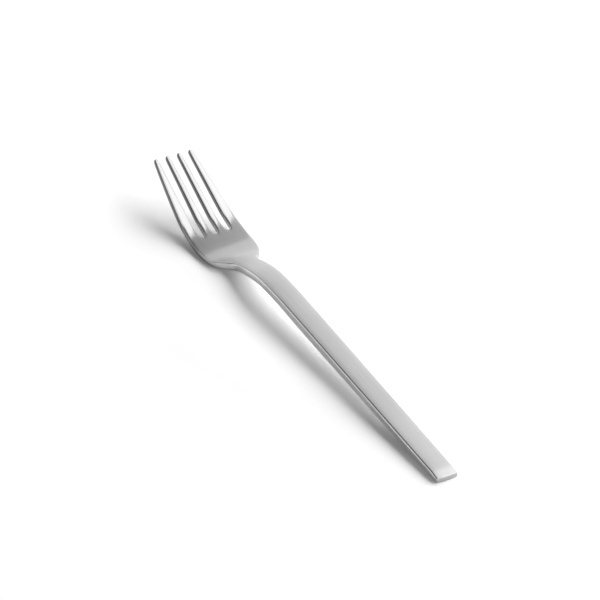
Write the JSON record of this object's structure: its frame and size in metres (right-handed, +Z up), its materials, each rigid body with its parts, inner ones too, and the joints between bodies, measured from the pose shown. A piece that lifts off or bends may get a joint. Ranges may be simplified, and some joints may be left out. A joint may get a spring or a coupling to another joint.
{
  "type": "table fork",
  "caption": "Pressed steel table fork with a flat bar handle, an arched neck, a palm with rounded shoulders and tapered tines.",
  "frame": {"origin": "on the table, under the middle of the fork's length and width", "axes": "+X from the handle end to the tine tips, +Y to the left as seen from the handle end, +Z up from the table"},
  "size_m": [0.2011, 0.022, 0.0189],
  "materials": {
    "steel": "satin handle and palm, brighter polished tines"
  },
  "bodies": {
    "root": {"fork": "steel"}
  },
  "joints": []
}
